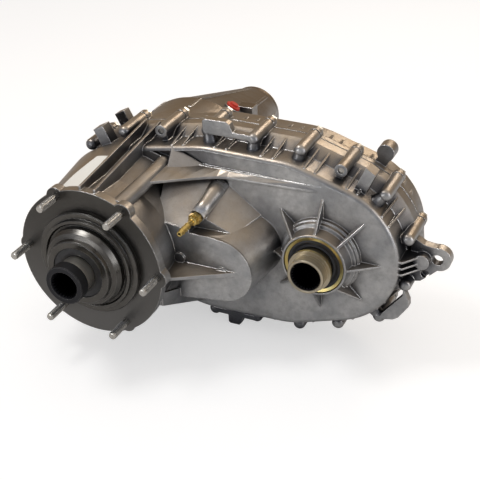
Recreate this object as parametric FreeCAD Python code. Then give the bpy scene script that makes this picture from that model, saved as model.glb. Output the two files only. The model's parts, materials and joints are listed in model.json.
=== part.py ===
"""Chain-driven part-time transfer case, millimetres.

Frame: origin where the input axis crosses the input flange face, +Y from the flange to the tail,
+X towards the front output shaft, +Z up with the case lying on its long side.
"""
import FreeCAD, Part
import math
import os

V = FreeCAD.Vector

# ---------------------------------------------------------------- driving dimensions
SPROCKET_TEETH = 36
CHAIN_PITCH = 11.1125
CHAIN_LINKS = 82
CENTRES = (CHAIN_LINKS - SPROCKET_TEETH) / 2 * CHAIN_PITCH      # input axis to front output axis
SPROCKET_R = CHAIN_PITCH / (2 * math.sin(math.pi / SPROCKET_TEETH))
CHAIN_Y = (133.0, 169.0)

STUD_CIRCLE_R = 90.0
STUD_ANGLES = [117.0 - 60.0 * k for k in range(6)]
STUD_R = 5.0
STUD_OUT = 35.6                # how far the studs stand out of the flange face
STUD_IN = 10.0                 # how deep they sit in the flange
STUD_ROOT_R = 4.6              # their threaded end in the flange
FLANGE_THICK = 12.0

FACE_Y = 116.3                 # front face of the chain case
WALL = 7.0
SPLIT_Y = 184.4                # middle of the sealant line
SEALANT = 0.8
FRONT_END_Y = SPLIT_Y - SEALANT / 2
REAR_START_Y = SPLIT_Y + SEALANT / 2
RIM_CIRCLES = [(0.0, 100.0), (105.0, 118.0), (195.0, 116.0), (CENTRES, 97.0)]
FLANGE_OUT = 10.5              # how far the split flange stands outside the wall
FLANGE_Y = 169.0               # front of the front half's split flange
COVE_Y = 150.0
REAR_FLANGE_Y = 193.0
REAR_WALL_Y = 232.0
REAR_FACE_Y = 240.7

BOSS_R = 8.0
BOSS_TIP_Y = 131.5
BOSS_SPOTS = [(97.0, 131.8), (158.1, 129.5), (219.5, 124.8), (272.5, 109.9), (326.3, 85.3),
              (356.8, 31.7), (34.0, 122.0)]
LEFT_BOSS_R = 113.0
LEFT_BOSS_ANGLES = [101.7, 131.8, 163.9, 196.1, 228.2, 258.3]
BOLT_R = 4.0
BOLT_TIP_Y = 148.0
REAR_BOSS_Y = 193.0

# sections of the neck behind the input flange: y, centre x, centre z and radius
NECK = [(6.0, 0.0, 0.0, 90.0), (57.0, -12.0, -8.0, 97.0), (122.0, -14.0, -6.0, 103.0), (152.0, 0.0, 0.0, 101.5)]
NECK_BORE_R = 77.0
RIDGE_R = 10.0
POD_FACE_Y = 57.0
POD = (145.0, -15.0, 43.0)     # x, z and radius of the pod's round end
FLOOR_Z = -147.0               # lowest lugs and foot

BEARING_R = (22.5, 42.5)       # input and rear ball bearings
BEARING_WIDTH = 19.0
INPUT_BEARING_Y = 4.0
REAR_BEARING_Y = 262.0
OUT_BEARING_R = (25.0, 40.0)
OUT_BEARING_Y = 103.0
OUT_BEARING_WIDTH = 16.0

GEAR_MODULE = 2.25
SUN_TEETH = 34
PLANET_TEETH = 12
RING_TEETH = SUN_TEETH + 2 * PLANET_TEETH
PLANET_COUNT = 4
PLANET_CIRCLE_R = GEAR_MODULE * (SUN_TEETH + PLANET_TEETH) / 2
RING_Y = (38.0, 62.0)
BACKLASH = 0.25

RAIL = (128.0, -15.0, 9.0)     # x, z and radius of the shift rail
CAM = (160.0, -15.0)           # x and z of the shift cam's axis
SHIFT_END_Y = (60.5, 238.0)    # ends of the rail's and the cam's pockets
DETENT = (178.0, 24.0)
VENT = (113.5, 50.0)           # x and z of the breather's boss
VENT_Y = 67.0

EAR = (392.0, 4.5)             # x and z of the hanger ear's round end
EAR_HOLE_R = 7.0
EAR_PIN = (377.0, -19.0)       # x and z of the blind hole beside it
EAR_PIN_R = 5.5

BELL_R = 99.0                  # rear bell round the main axis
BELL_END_Y = 298.0
TAIL_R = 41.75
TAIL_END_Y = 497.5

OUTPUT_RIM_Y = 88.6
OUTPUT_END_Y = 60.6


# ---------------------------------------------------------------- shape helpers
def polar(radius, angle, x=0.0, z=0.0):
    a = math.radians(angle)
    return (x + radius * math.cos(a), z + radius * math.sin(a))


def cyl(radius, y0, y1, x=0.0, z=0.0):
    return Part.makeCylinder(radius, y1 - y0, V(x, y0, z), V(0, 1, 0))


def cone(r0, r1, y0, y1, x=0.0, z=0.0):
    return Part.makeCone(r0, r1, y1 - y0, V(x, y0, z), V(0, 1, 0))


def tube(r_out, r_in, y0, y1, x=0.0, z=0.0):
    return cyl(r_out, y0, y1, x, z).cut(cyl(r_in, y0 - 1, y1 + 1, x, z))


def block(x0, x1, y0, y1, z0, z1):
    return Part.makeBox(x1 - x0, y1 - y0, z1 - z0, V(x0, y0, z0))


def revolve(profile, x=0.0, z=0.0):
    """Turn a closed (radius, y) profile about the Y direction through x, z."""
    points = [V(r, y, 0) for r, y in profile]
    face = Part.Face(Part.makePolygon(points + points[:1]))
    solid = face.revolve(V(0, 0, 0), V(0, 1, 0), 360)
    solid.translate(V(x, 0, z))
    return solid


def prism_y(points, y0, y1):
    """Extrude an (x, z) polygon along Y."""
    corners = [V(x, y0, z) for x, z in points]
    face = Part.Face(Part.makePolygon(corners + corners[:1]))
    return face.extrude(V(0, y1 - y0, 0))


def prism_z(points, z0, z1):
    """Extrude an (x, y) polygon along Z."""
    corners = [V(x, y, z0) for x, y in points]
    face = Part.Face(Part.makePolygon(corners + corners[:1]))
    return face.extrude(V(0, 0, z1 - z0))


def spin(shape, angle, x=0.0, z=0.0):
    """A copy turned from +X towards +Z about the Y direction through x, z."""
    turned = shape.copy()
    turned.rotate(V(x, 0, z), V(0, 1, 0), -angle)
    return turned


def fuse(shapes):
    joined = shapes[0].multiFuse(shapes[1:]) if len(shapes) > 1 else shapes[0]
    return joined.removeSplitter()


def cut(shape, tools):
    return shape.cut(Part.makeCompound(tools)) if tools else shape


def rib(foot, out, profile, thick):
    """A flat web: profile lists (distance along out, y); foot is its (x, z) start."""
    length = math.hypot(*out)
    ux, uz = out[0] / length, out[1] / length
    side = V(-uz, 0, ux) * (thick / 2)
    points = [V(foot[0] + ux * d, y, foot[1] + uz * d) - side for d, y in profile]
    face = Part.Face(Part.makePolygon(points + points[:1]))
    return face.extrude(side * 2)


def export(name, shape):
    solids = shape.Solids
    shape = solids[0] if len(solids) == 1 else Part.makeCompound(solids)
    if not shape.isValid():
        print("INVALID", name)
    shape.exportStep("parts/%s.step" % name)
    print("%-26s solids %3d  volume %.1f cm3" % (name, len(solids), shape.Volume / 1000))


# ---------------------------------------------------------------- case outline
def rim_tangents(offset):
    """Tangent points on the upper side between neighbouring rim circles."""
    pairs = []
    for (x1, r1), (x2, r2) in zip(RIM_CIRCLES, RIM_CIRCLES[1:]):
        s = (r1 - r2) / (x2 - x1)
        c = math.sqrt(1 - s * s)
        start = (x1 + (r1 + offset) * s, (r1 + offset) * c)
        end = (x2 + (r2 + offset) * s, (r2 + offset) * c)
        pairs.append((start, end))
    return pairs


def outline(offset, y):
    """Closed wire round the chain case: the rim circles and their tangents."""
    pairs = rim_tangents(offset)
    top = [V(px, y, pz) for pair in pairs for px, pz in pair]
    low = [V(p.x, y, -p.z) for p in top]
    left = V(RIM_CIRCLES[0][0] - RIM_CIRCLES[0][1] - offset, y, 0)
    right = V(RIM_CIRCLES[-1][0] + RIM_CIRCLES[-1][1] + offset, y, 0)

    def arc_between(a, b, circle):
        middle = (a + b) / 2
        centre = V(circle[0], y, 0)
        away = (middle - centre).normalize()
        return Part.Arc(a, centre + away * (circle[1] + offset), b).toShape()

    edges = [Part.Arc(low[0], left, top[0]).toShape()]
    for i in range(len(pairs)):
        edges.append(Part.LineSegment(top[2 * i], top[2 * i + 1]).toShape())
        if i < len(pairs) - 1:
            edges.append(arc_between(top[2 * i + 1], top[2 * i + 2], RIM_CIRCLES[i + 1]))
    edges.append(Part.Arc(top[-1], right, low[-1]).toShape())
    for i in reversed(range(len(pairs))):
        edges.append(Part.LineSegment(low[2 * i + 1], low[2 * i]).toShape())
        if i > 0:
            edges.append(arc_between(low[2 * i], low[2 * i - 1], RIM_CIRCLES[i]))
    return Part.Wire(edges)


def slab(offset, y0, y1):
    return Part.Face(outline(offset, y0)).extrude(V(0, y1 - y0, 0))


def flare(offset0, y0, offset1, y1):
    return Part.makeLoft([outline(offset0, y0), outline(offset1, y1)], True, True)


def boss_spots():
    """Every case bolt position as (x, z, outward x, outward z)."""
    spots = []
    for x, z in BOSS_SPOTS:
        for side in (1, -1):
            gap, nx, nz = wall_normal(x, side * z)
            spots.append((x, side * z, nx, nz))
    for angle in LEFT_BOSS_ANGLES:
        nx, nz = polar(1.0, angle)
        spots.append((LEFT_BOSS_R * nx, LEFT_BOSS_R * nz, nx, nz))
    return spots


def wall_normal(x, z):
    """Outward normal of the wall's outline nearest a point, and how far outside it the point is."""
    side = 1.0 if z >= 0 else -1.0
    best = None
    for cx, r in RIM_CIRCLES:
        d = math.hypot(x - cx, z)
        best = min(best, (d - r, (x - cx) / d, z / d)) if best else (d - r, (x - cx) / d, z / d)
    for (x1, z1), (x2, z2) in rim_tangents(0.0):
        length = math.hypot(x2 - x1, z2 - z1)
        ux, uz = (x2 - x1) / length, (z2 - z1) / length
        along = (x - x1) * ux + (side * z - z1) * uz
        if 0 <= along <= length:
            gap = -(x - x1) * uz + (side * z - z1) * ux
            best = min(best, (gap, -uz, side * ux))
    return best


# ---------------------------------------------------------------- castings
def stud_spots():
    return [polar(STUD_CIRCLE_R, a) for a in STUD_ANGLES]


def rounded_boss(x, z, y0, y1, radius, tip):
    boss = cyl(radius, y0, y1, x, z)
    end = [e for e in boss.Edges if abs(e.BoundBox.YMin - y0) < 1e-3 and abs(e.BoundBox.YMax - y0) < 1e-3]
    return boss.makeFillet(tip, end)


def radial_block(angle, r0, r1, width, y0, y1):
    x0, z0 = polar(r0, angle)
    out = polar(1.0, angle)
    return rib((x0, z0), out, [(0, y0), (r1 - r0, y0), (r1 - r0, y1), (0, y1)], width)


def boss_ribs(front):
    """Pairs of thin gussets between neighbouring bolt bosses."""
    shapes = []
    row = sorted([s for s in BOSS_SPOTS], key=lambda s: s[0])
    for (x1, z1), (x2, z2) in zip(row, row[1:]):
        for part in (0.27, 0.53):
            for side in (1, -1):
                x = x1 + (x2 - x1) * part
                z = side * (z1 + (z2 - z1) * part)
                gap, nx, nz = wall_normal(x, z)
                foot = (x - nx * (gap + 3), z - nz * (gap + 3))
                shapes.append(rib(foot, (nx, nz), front, 2.4))
    return shapes


def lower_lug(y0, y1):
    shape = [(118, -122), (118.5, -145), (121, FLOOR_Z), (134, FLOOR_Z), (137, -144), (144, -122)]
    return prism_y(shape, y0, y1)


def left_foot(y0, y1):
    shape = [(-48, -80), (-46, FLOOR_Z + 3), (-43, FLOOR_Z), (-25, FLOOR_Z), (-22, FLOOR_Z + 3), (-20, -90)]
    return prism_y(shape, y0, y1)


def neck_loft():
    wires = [Part.Wire(Part.makeCircle(r, V(x, y, z), V(0, 1, 0))) for y, x, z, r in NECK]
    return Part.makeLoft(wires, True, True)


def neck_ridge():
    """Soft ridge along the upper right of the neck, over the oil gallery."""
    start, end = V(38.0, 10.0, 76.0), V(46.0, 112.0, 88.0)
    along = end - start
    return [Part.makeCylinder(RIDGE_R, along.Length, start, along), Part.makeSphere(RIDGE_R + 0.4, end)]


def pod_loft(points0, y0, points1, y1):
    wires = []
    for points, y in ((points0, y0), (points1, y1)):
        corners = [V(x, y, z) for x, z in points]
        wires.append(Part.makePolygon(corners + corners[:1]))
    return Part.makeLoft(wires, True, True)


def front_wall():
    wall = slab(0, FACE_Y, FRONT_END_Y)
    rim = [e for e in wall.Edges if e.BoundBox.YMax < FACE_Y + 0.01]
    wall = wall.makeFillet(6.5, rim)
    floor = prism_z([(20, FACE_Y - 5), (262, FACE_Y - 5), (262, FACE_Y), (20, FACE_Y + 6.5)], 80, 125)
    edge = [(24, 125), (24, 101), (39, 96.6), (62, 93.5), (255, 92), (262, 125)]
    recess = prism_y(edge, FACE_Y - 6, FACE_Y + 10).common(slab(-5.5, FACE_Y - 6, FACE_Y + 10))
    return wall.cut(recess.common(floor))


def flange_pieces():
    disc = cyl(99.0, 0, FLANGE_THICK, -3, -5)
    pieces = [disc]
    for x, z in stud_spots():
        pieces.append(cyl(12.5, 0, FLANGE_THICK, x * 1.01 - 1, z * 1.01 - 2))
    return pieces


def front_lugs():
    top_bar = [(97, 129.5), (93, 134), (93, 146), (96, 148.5), (125, 149), (129, 146), (133, 136.5),
               (158, 135.5), (158, 129.5)]
    low_right = [(356, -34), (364, -51), (364.5, -59), (352, -78), (345.5, -82.5), (328, -86), (331, -77), (356, -45)]
    pad = [(289, 88), (302, 82), (315, 111), (303, 119)]
    bar = [(97, -126.5), (97, -134), (158, -134), (158, -126.5)]
    y0, y1 = BOSS_TIP_Y, BOSS_TIP_Y + 10
    pieces = [prism_y(top_bar, y0, y1), prism_y(low_right, y0, y1), prism_y(pad, y0, y1 + 8)]
    pieces += [prism_y(bar, y0, y1), lower_lug(y0, y1)]
    pieces.append(radial_block(118.0, 92, 127, 16, y0, y0 + 17))
    pieces.append(left_foot(140, FRONT_END_Y))
    return pieces


def ear_pieces():
    x, z = EAR
    root = [(358, 30), (374, 21), (384, 19.6), (x, z + 15.2), (x, z - 15.2), (385, -18), (372, -30), (358, -33)]
    pieces = [prism_y(root, 150, 162), cyl(15.5, 150, 162, x, z), cyl(9.5, 138, 162, 374, 3)]
    for low in (9.0, 0.5, -8.0):
        pieces.append(rib((350, low), (1, -0.04), [(0, 119), (6, 119), (27, 148), (27, 152), (0, 152)], 2.4))
    return pieces


def output_boss():
    profile = [(0, 120), (0, OUTPUT_RIM_Y), (40.6, OUTPUT_RIM_Y), (41.2, OUTPUT_RIM_Y + 0.8), (43.4, 104.4),
               (47.8, 105.2), (48.6, 110.2), (50.6, 110.8), (51.2, 120)]
    pieces = [revolve(profile, CENTRES)]
    for k in range(8):
        out = polar(1.0, 134.8 - 45 * k)
        foot = (CENTRES + 36 * out[0], 36 * out[1])
        pieces.append(rib(foot, out, [(0, 91.5), (5.4, 90.6), (40.6, FACE_Y), (40.6, 120), (0, 120)], 2.8))
    return pieces


def pod_face():
    """The pod's D-shaped face, square to the main axis, carried back to the chain case."""
    x, z, r = POD
    (x1, z1), (x2, z2), (x3, z3) = [polar(r, a, x, z) for a in (81.0, 0.0, -84.0)]
    arc = Part.Arc(V(x1, POD_FACE_Y, z1), V(x2, POD_FACE_Y, z2), V(x3, POD_FACE_Y, z3)).toShape()
    corners = [(x3, z3), (60, -70), (40, -74), (40, 42), (65, 40), (x1, z1)]
    points = [V(px, POD_FACE_Y, pz) for px, pz in corners]
    lines = [Part.LineSegment(p, q).toShape() for p, q in zip(points, points[1:])]
    return Part.Face(Part.Wire([arc] + lines)).extrude(V(0, 119 - POD_FACE_Y, 0))


def tilted_prism(points, low, top):
    """Prism over an (x, y) polygon; top gives the height of its sloping top at x, y."""
    wires = []
    for height in (lambda x, y: low, top):
        corners = [V(x, y, height(x, y)) for x, y in points]
        wires.append(Part.makePolygon(corners + corners[:1]))
    return Part.makeLoft(wires, True, True)


def front_pod():
    x, z, r = POD
    near = [(60, 41), (110, 34), (150, 26), (150, -56), (60, -69)]
    far = [(56, 112), (125, 82), (178, 40), (172, -62), (56, -92)]
    skew = Part.makeLoft([Part.Wire(Part.makeCircle(r - 0.4, V(x, POD_FACE_Y + 1.5, z), V(0, 1, 0))),
                          Part.Wire(Part.makeCircle(r + 1, V(161, 119, -3), V(0, 1, 0)))], True, True)
    gusset = tilted_prism([(80, 11), (80, 59), (172, 59)], -18.5, lambda gx, gy: -15.5 + 0.07 * (gy - 11))
    shelf = [(40, 64), (60, 74), (82, 86), (106, 101), (125, 117), (125, 122), (40, 122)]
    ledge = tilted_prism(shelf, 82.5, lambda sx, sy: 86 + 0.136 * (sy - 64) - 0.085 * (sx - 40))
    knobs = [cyl(6.5, POD_FACE_Y - 2.5, 62, x + 4, z), cyl(7.0, POD_FACE_Y - 3, 62, 92, -7)]
    return [pod_face(), skew, pod_loft(near, POD_FACE_Y + 2, far, 119), gusset, ledge] + knobs


def in_stages(groups):
    """Join group after group, which stays exact where one large union would not."""
    body = groups[0][0]
    for group in groups:
        body = body.multiFuse(group)
    return body


OPEN_BOSSES = [(272.5, 109.9), (34.0, 122.0)]       # bosses whose bolt end shows at the front


def front_bosses():
    bosses = []
    webs = []
    for x, z, nx, nz in boss_spots():
        if (x, z) in OPEN_BOSSES:
            bosses.append(cyl(BOSS_R, BOSS_TIP_Y, FRONT_END_Y, x, z))
        else:
            bosses.append(rounded_boss(x, z, BOSS_TIP_Y, FRONT_END_Y, BOSS_R, 6.0))
        webs.append(rib((x - 18 * nx, z - 18 * nz), (nx, nz), [(0, 137), (18, 137), (18, 170), (0, 170)], 8))
    return [bosses, webs]


def front_webs():
    webs = []
    for x, z in ((-9.0, 99.0), (11.0, 97.5)):
        points = [V(x, 3, 80), V(x, 3, z), V(x, 169, 118.5), V(x, 169, 95)]
        webs.append(Part.Face(Part.makePolygon(points + points[:1])).extrude(V(2.8, 0, 0)))
    points = [V(84, 11, -34), V(84, 11, -52), V(84, 118, -109), V(84, 118, -80)]
    webs.append(Part.Face(Part.makePolygon(points + points[:1])).extrude(V(5, 0, 0)))
    return webs


def front_housing():
    flange = [flare(0.5, COVE_Y, FLANGE_OUT, FLANGE_Y), slab(FLANGE_OUT, FLANGE_Y, FRONT_END_Y)]
    gussets = boss_ribs([(0, FACE_Y + 5), (4.0, FACE_Y + 5), (FLANGE_OUT + 1.8, FLANGE_Y + 1), (0, FLANGE_Y + 1)])
    groups = [[front_wall()] + flange, [neck_loft()] + flange_pieces(), neck_ridge(), front_lugs(), ear_pieces(),
              output_boss(), front_pod(), gussets]
    body = in_stages(groups + front_bosses() + [front_webs()])
    body = body.cut(prism_y([(104, 72), (113, 70), (161, 33), (152, 30.5), (106, 30)], 40, 74.5))
    body = body.fuse(cyl(9.0, VENT_Y, 82, *VENT))

    bore_end = INPUT_BEARING_Y + BEARING_WIDTH
    tools = [cyl(BEARING_R[1], -20, bore_end), cyl(36, 0, 40), cyl(NECK_BORE_R, 30, 140)]
    tools += [cyl(36, POD_FACE_Y + 7, 140, POD[0], POD[1])]
    tools += [prism_y([(150, 19), (60, 30), (60, -58), (150, -49)], POD_FACE_Y + 7, 140)]
    tools += [slab(-WALL, 127, FRONT_END_Y + 5)]
    tools += [cyl(38.5, 80, 99, CENTRES), cyl(35, 90, 140, CENTRES)]
    tools += [cyl(OUT_BEARING_R[1], OUT_BEARING_Y, 130, CENTRES)]
    tools += [cyl(STUD_ROOT_R, -5, STUD_IN, x, z) for x, z in stud_spots()]
    for x, z, nx, nz in boss_spots():
        start = BOSS_TIP_Y - 5 if (x, z) in OPEN_BOSSES else BOLT_TIP_Y - 3
        tools.append(cyl(BOLT_R, start, FRONT_END_Y + 5, x, z))
    tools += [cyl(4.0, 176, 190, x, 0) for x in dowel_xs()]
    tools += [cyl(EAR_HOLE_R, 140, 170, EAR[0] - 1, EAR[1] - 1), cyl(EAR_PIN_R, 140, 156, *EAR_PIN)]
    tools += [cyl(4.0, 50, 90, *VENT)]
    tools += [cyl(RAIL[2], SHIFT_END_Y[0], 70, x, z) for x, z in (RAIL[:2], CAM)]
    return cut(body, tools)


def dowel_xs():
    return (-RIM_CIRCLES[0][1] - 2.0, CENTRES + RIM_CIRCLES[-1][1] + 2.0)


def tail_radius(y):
    """Outer radius of the tapering tail at a distance y from the flange."""
    return BELL_R + (TAIL_R + 1.0 - BELL_R) * (y - BELL_END_Y) / (TAIL_END_Y - 8 - BELL_END_Y)


def rear_outer():
    solids = [slab(FLANGE_OUT, REAR_START_Y, REAR_FLANGE_Y), flare(FLANGE_OUT, REAR_FLANGE_Y, 0.5, 212)]
    solids += [slab(0, REAR_FLANGE_Y, REAR_WALL_Y), flare(0, REAR_WALL_Y, -8, REAR_FACE_Y)]
    for x, z, nx, nz in boss_spots():
        solids.append(cyl(BOSS_R + 0.2, REAR_START_Y, REAR_BOSS_Y, x, z))
        solids.append(rib((x - 16 * nx, z - 16 * nz), (nx, nz), [(0, 190), (16, 190), (16, 193), (0, 214)], 9))
    solids += boss_ribs([(0, 190), (FLANGE_OUT + 1, 190), (3.4, 222), (0, 228)])
    bell = cyl(BELL_R, 205, BELL_END_Y)
    solids.append(bell)
    solids.append(cone(BELL_R - 1, tail_radius(TAIL_END_Y - 8), BELL_END_Y - 1, TAIL_END_Y - 8))
    solids.append(cyl(TAIL_R, TAIL_END_Y - 9, TAIL_END_Y))
    for k in range(10):
        out = polar(1.0, 15 + 36 * k)
        y0, y1 = BELL_END_Y - 40, 478
        profile = [(20, y0), (BELL_R + 1, y0 + 8), (BELL_R + 1, BELL_END_Y), (tail_radius(y1) + 0.5, y1), (20, y1)]
        solids.append(rib((0, 0), out, profile, 4.5))
    solids += [radial_block(117.5, 92, 127, 16, REAR_START_Y, 198), lower_lug(REAR_START_Y, 203)]
    solids += [left_foot(REAR_START_Y, 212)]
    solids += [cyl(11, 196, 214, 307, 110), rib((282, 58), (0.46, 0.89), [(0, 196), (56, 196), (56, 213), (0, 228)], 15)]
    solids += [block(46, 70, 332, 350, 50, 80), cyl(30, 230, 250, CENTRES), cyl(24, 225, 252, CAM[0], CAM[1])]
    for x, z in filler_spots():
        solids.append(cyl(15, 225, 247, x, z))
    solids.append(plug_cylinder(12, -20, 4))
    return solids


def filler_spots():
    return ((212.0, -74.0), (207.0, -33.0))


PLUG_AT = (44.0, 318.0, 80.5)


def plug_cylinder(radius, low, high):
    """A cylinder standing square on the tail at the red plug."""
    out = V(PLUG_AT[0], 26, PLUG_AT[2]).normalize()
    base = V(*PLUG_AT) + out * low
    return Part.makeCylinder(radius, high - low, base, out)


def rear_housing():
    body = fuse(rear_outer())
    bore_end = REAR_BEARING_Y + BEARING_WIDTH
    tools = [slab(-WALL, REAR_START_Y - 5, REAR_WALL_Y), cyl(93, REAR_START_Y - 5, 254)]
    tools += [cyl(BEARING_R[1], 250, bore_end), cyl(37, 250, 300), cyl(90, 288, 300)]
    tools += [cone(94, 35, 299, 452), cyl(27.5, 440, 480), cyl(34, 480, 510)]
    tools += [cyl(22, 226, 246, CENTRES), cyl(RAIL[2], 226, SHIFT_END_Y[1], *RAIL[:2])]
    tools += [cyl(RAIL[2], 220, 260, *CAM), cyl(5, 225, 250, *DETENT)]
    tools += [cyl(9, 220, 260, x, z) for x, z in filler_spots()]
    for x, z, nx, nz in boss_spots():
        tools.append(cyl(BOLT_R, REAR_START_Y - 5, REAR_BOSS_Y + 5, x, z))
        tools.append(cyl(9.0, REAR_BOSS_Y, REAR_BOSS_Y + 10, x, z))
    tools += [cyl(4.0, 180, 192, x, 0) for x in dowel_xs()]
    tools += [cyl(3.5, 240, 260, *polar(18.5, 90 + 120 * k, *CAM)) for k in range(3)]
    tools.append(plug_cylinder(8, -30, 20))
    return cut(body, tools)


def case_sealant():
    ring = slab(FLANGE_OUT - 2.0, FRONT_END_Y, REAR_START_Y).cut(slab(-WALL + 1.5, FRONT_END_Y - 1, REAR_START_Y + 1))
    holes = [cyl(BOSS_R - 3.0, FRONT_END_Y - 1, REAR_START_Y + 1, x, z) for x, z, nx, nz in boss_spots()]
    holes += [cyl(4.2, FRONT_END_Y - 1, REAR_START_Y + 1, x, 0) for x in dowel_xs()]
    return cut(ring, holes)


# ---------------------------------------------------------------- teeth and bearings
def toothed(count, phase, flank):
    """Outline with equal teeth; flank lists (radius, half angle in degrees) from root to tip."""
    points = []
    for k in range(count):
        middle = phase + 360.0 * k / count
        points += [polar(r, middle - half) for r, half in flank]
        points += [polar(r, middle + half) for r, half in reversed(flank)]
    return points


def involute_flank(teeth, r_root, r_tip, extra):
    """Half angles of an involute tooth, made wider by extra (mm along the pitch circle)."""
    pitch_r = GEAR_MODULE * teeth / 2
    base_r = pitch_r * math.cos(math.radians(20))

    def roll(r):
        a = math.acos(min(1.0, base_r / r))
        return math.tan(a) - a

    start = max(r_root, base_r)
    radii = [start + (r_tip - start) * k / 4 for k in range(5)]
    half = math.pi / (2 * teeth) + extra / (2 * pitch_r) + roll(pitch_r)
    flank = [(r, math.degrees(half - roll(r))) for r in radii]
    return ([(r_root, flank[0][1])] if r_root < start - 0.05 else []) + flank


def spline(count, minor, major, y0, y1, grow=0.0):
    """Straight-sided spline; grow widens it into the matching hole."""
    quarter = 90.0 / count
    wide = math.degrees(grow / major)
    flank = [(minor + grow, quarter * 1.25 + wide), (major + grow, quarter * 0.8 + wide)]
    return prism_y(toothed(count, 0.0, flank), y0, y1)


def hexagon(across, y0, y1, x=0.0, z=0.0):
    corner = across / math.sqrt(3)
    return prism_y([polar(corner, 30 + 60 * k, x, z) for k in range(6)], y0, y1)


def ball_bearing(bore_r, outer_r, y0, width, x=0.0):
    """Outer race, inner race, and the cage with its balls."""
    middle = y0 + width / 2
    pitch_r = (bore_r + outer_r) / 2
    ball_r = (outer_r - bore_r) * 0.26
    groove = Part.makeTorus(pitch_r, ball_r + 0.05, V(x, middle, 0), V(0, 1, 0))
    outer = tube(outer_r, pitch_r + ball_r * 0.6, y0, y0 + width, x).cut(groove)
    inner = tube(pitch_r - ball_r * 0.6, bore_r, y0, y0 + width, x).cut(groove)
    count = int(math.pi * pitch_r / (ball_r * 1.35))
    balls, holes = [], []
    for k in range(count):
        out_x, out_z = polar(1.0, 360.0 * k / count + 7)
        balls.append(Part.makeSphere(ball_r, V(x + pitch_r * out_x, middle, pitch_r * out_z)))
        low = pitch_r - 2 * ball_r
        holes.append(Part.makeCylinder(ball_r + 0.1, 4 * ball_r, V(x + low * out_x, middle, low * out_z),
                                       V(out_x, 0, out_z)))
    ring = tube(pitch_r + ball_r * 0.3, pitch_r - ball_r * 0.3, middle - ball_r * 1.2, middle + ball_r * 1.2, x)
    return outer, inner, Part.makeCompound([cut(ring, holes)] + balls)


# ---------------------------------------------------------------- fasteners and trim
def case_bolts():
    bolts = []
    for x, z, nx, nz in boss_spots():
        start = BOSS_TIP_Y + 2 if (x, z) in OPEN_BOSSES else BOLT_TIP_Y
        shank = cyl(BOLT_R, start, REAR_BOSS_Y + 1, x, z)
        washer = cyl(7.8, REAR_BOSS_Y, REAR_BOSS_Y + 1.4, x, z)
        bolts.append(fuse([shank, washer, hexagon(12, REAR_BOSS_Y + 1, REAR_BOSS_Y + 6.5, x, z)]))
    return Part.makeCompound(bolts)


def case_dowels():
    return Part.makeCompound([cyl(4.0, 177, 191, x, 0) for x in dowel_xs()])


def input_studs():
    pitch = 1.5
    turns = 17
    profile = [(0, STUD_IN), (STUD_ROOT_R, STUD_IN), (STUD_ROOT_R, 0), (STUD_R, 0), (STUD_R, -8)]
    for k in range(turns):
        y = -8 - pitch * k
        profile += [(STUD_R, y - 0.3), (STUD_R - 0.75, y - 0.75), (STUD_R, y - 1.2)]
    profile += [(STUD_R - 0.6, -STUD_OUT + 0.3), (STUD_R - 1.4, -STUD_OUT), (0, -STUD_OUT)]
    return Part.makeCompound([revolve(profile, x, z) for x, z in stud_spots()])


def vent_fitting():
    x, z = VENT
    barb = [(2.0, 20), (3.2, 20), (4.4, 27), (3.2, 27), (4.4, 34), (3.2, 34), (4.4, 41), (3.4, 41), (3.4, 52),
            (5.6, 53), (5.6, 58), (2.0, 58)]
    shank = tube(4.0, 2.0, 64, VENT_Y + 12, x, z)
    return fuse([revolve(barb, x, z), hexagon(14, 57.5, VENT_Y, x, z).cut(cyl(2, 50, 70, x, z)), shank])


def red_plug():
    return fuse([plug_cylinder(8, -6, 5), plug_cylinder(10, 4, 6.5), plug_cylinder(6, 6, 9.5)])


def threaded_plug(x, z):
    body = fuse([cyl(9, 232, 248, x, z), hexagon(24, 247, 253, x, z)])
    return body.cut(hexagon(12, 249, 254, x, z))


def detent_plug():
    x, z = DETENT
    return fuse([cyl(5, 233, 241, x, z), hexagon(14, REAR_FACE_Y, 247, x, z)])


def between(rows, y):
    """Values at y, straight between rows that each start with their y."""
    for (y0, *low), (y1, *high) in zip(rows, rows[1:]):
        if y <= y1:
            part = (y - y0) / (y1 - y0)
            return [a + (b - a) * part for a, b in zip(low, high)]


def label_plate():
    """Thin blank label that follows the neck's upper left side."""
    gap, thick = 0.12, 0.4
    edges = [(13.0, 97.0, 123.0), (57.0, 92.0, 114.5), (97.0, 88.4, 106.5)]
    wires = []
    for y in (13.0, 27.0, 42.0, 57.0, 70.0, 84.0, 97.0):
        x, z, r = between(NECK, y)
        first, last = between(edges, y)
        arcs = []
        for radius in (r + gap, r + gap + thick):
            ends = [polar(radius, angle, x, z) for angle in (first, (first + last) / 2, last)]
            arcs.append([V(px, y, pz) for px, pz in ends])
        low, high = arcs
        lines = [Part.Arc(*low).toShape(), Part.LineSegment(low[2], high[2]).toShape(),
                 Part.Arc(*reversed(high)).toShape(), Part.LineSegment(high[0], low[0]).toShape()]
        wires.append(Part.Wire(lines))
    return Part.makeLoft(wires, True, True)


# ---------------------------------------------------------------- input group
def input_retainer():
    profile = [(34, -32.5), (41.6, -32.5), (42.6, -31.5), (43.6, -26), (49, -24), (52.5, -18), (53, -11.5),
               (55, -11.5), (57, -14.1), (60.5, -14.1), (61.5, -9.2), (67.8, -9.2), (69, -8), (69, 0),
               (BEARING_R[1], 0), (BEARING_R[1], INPUT_BEARING_Y), (36, INPUT_BEARING_Y), (36, -2), (26, -6),
               (26, -20), (34, -20)]
    return revolve(profile)


def lip_seal(bore_r, outer_r, y0, y1, x=0.0):
    lip = bore_r + 0.05
    profile = [(outer_r, y0 + 0.8), (outer_r - 0.8, y0), (lip + 3.5, y0), (lip, y0 + 2), (lip, y0 + 3.2),
               (lip + 2.2, y0 + 4.5), (lip + 2.2, y1), (outer_r, y1)]
    return revolve(profile, x)


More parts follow.
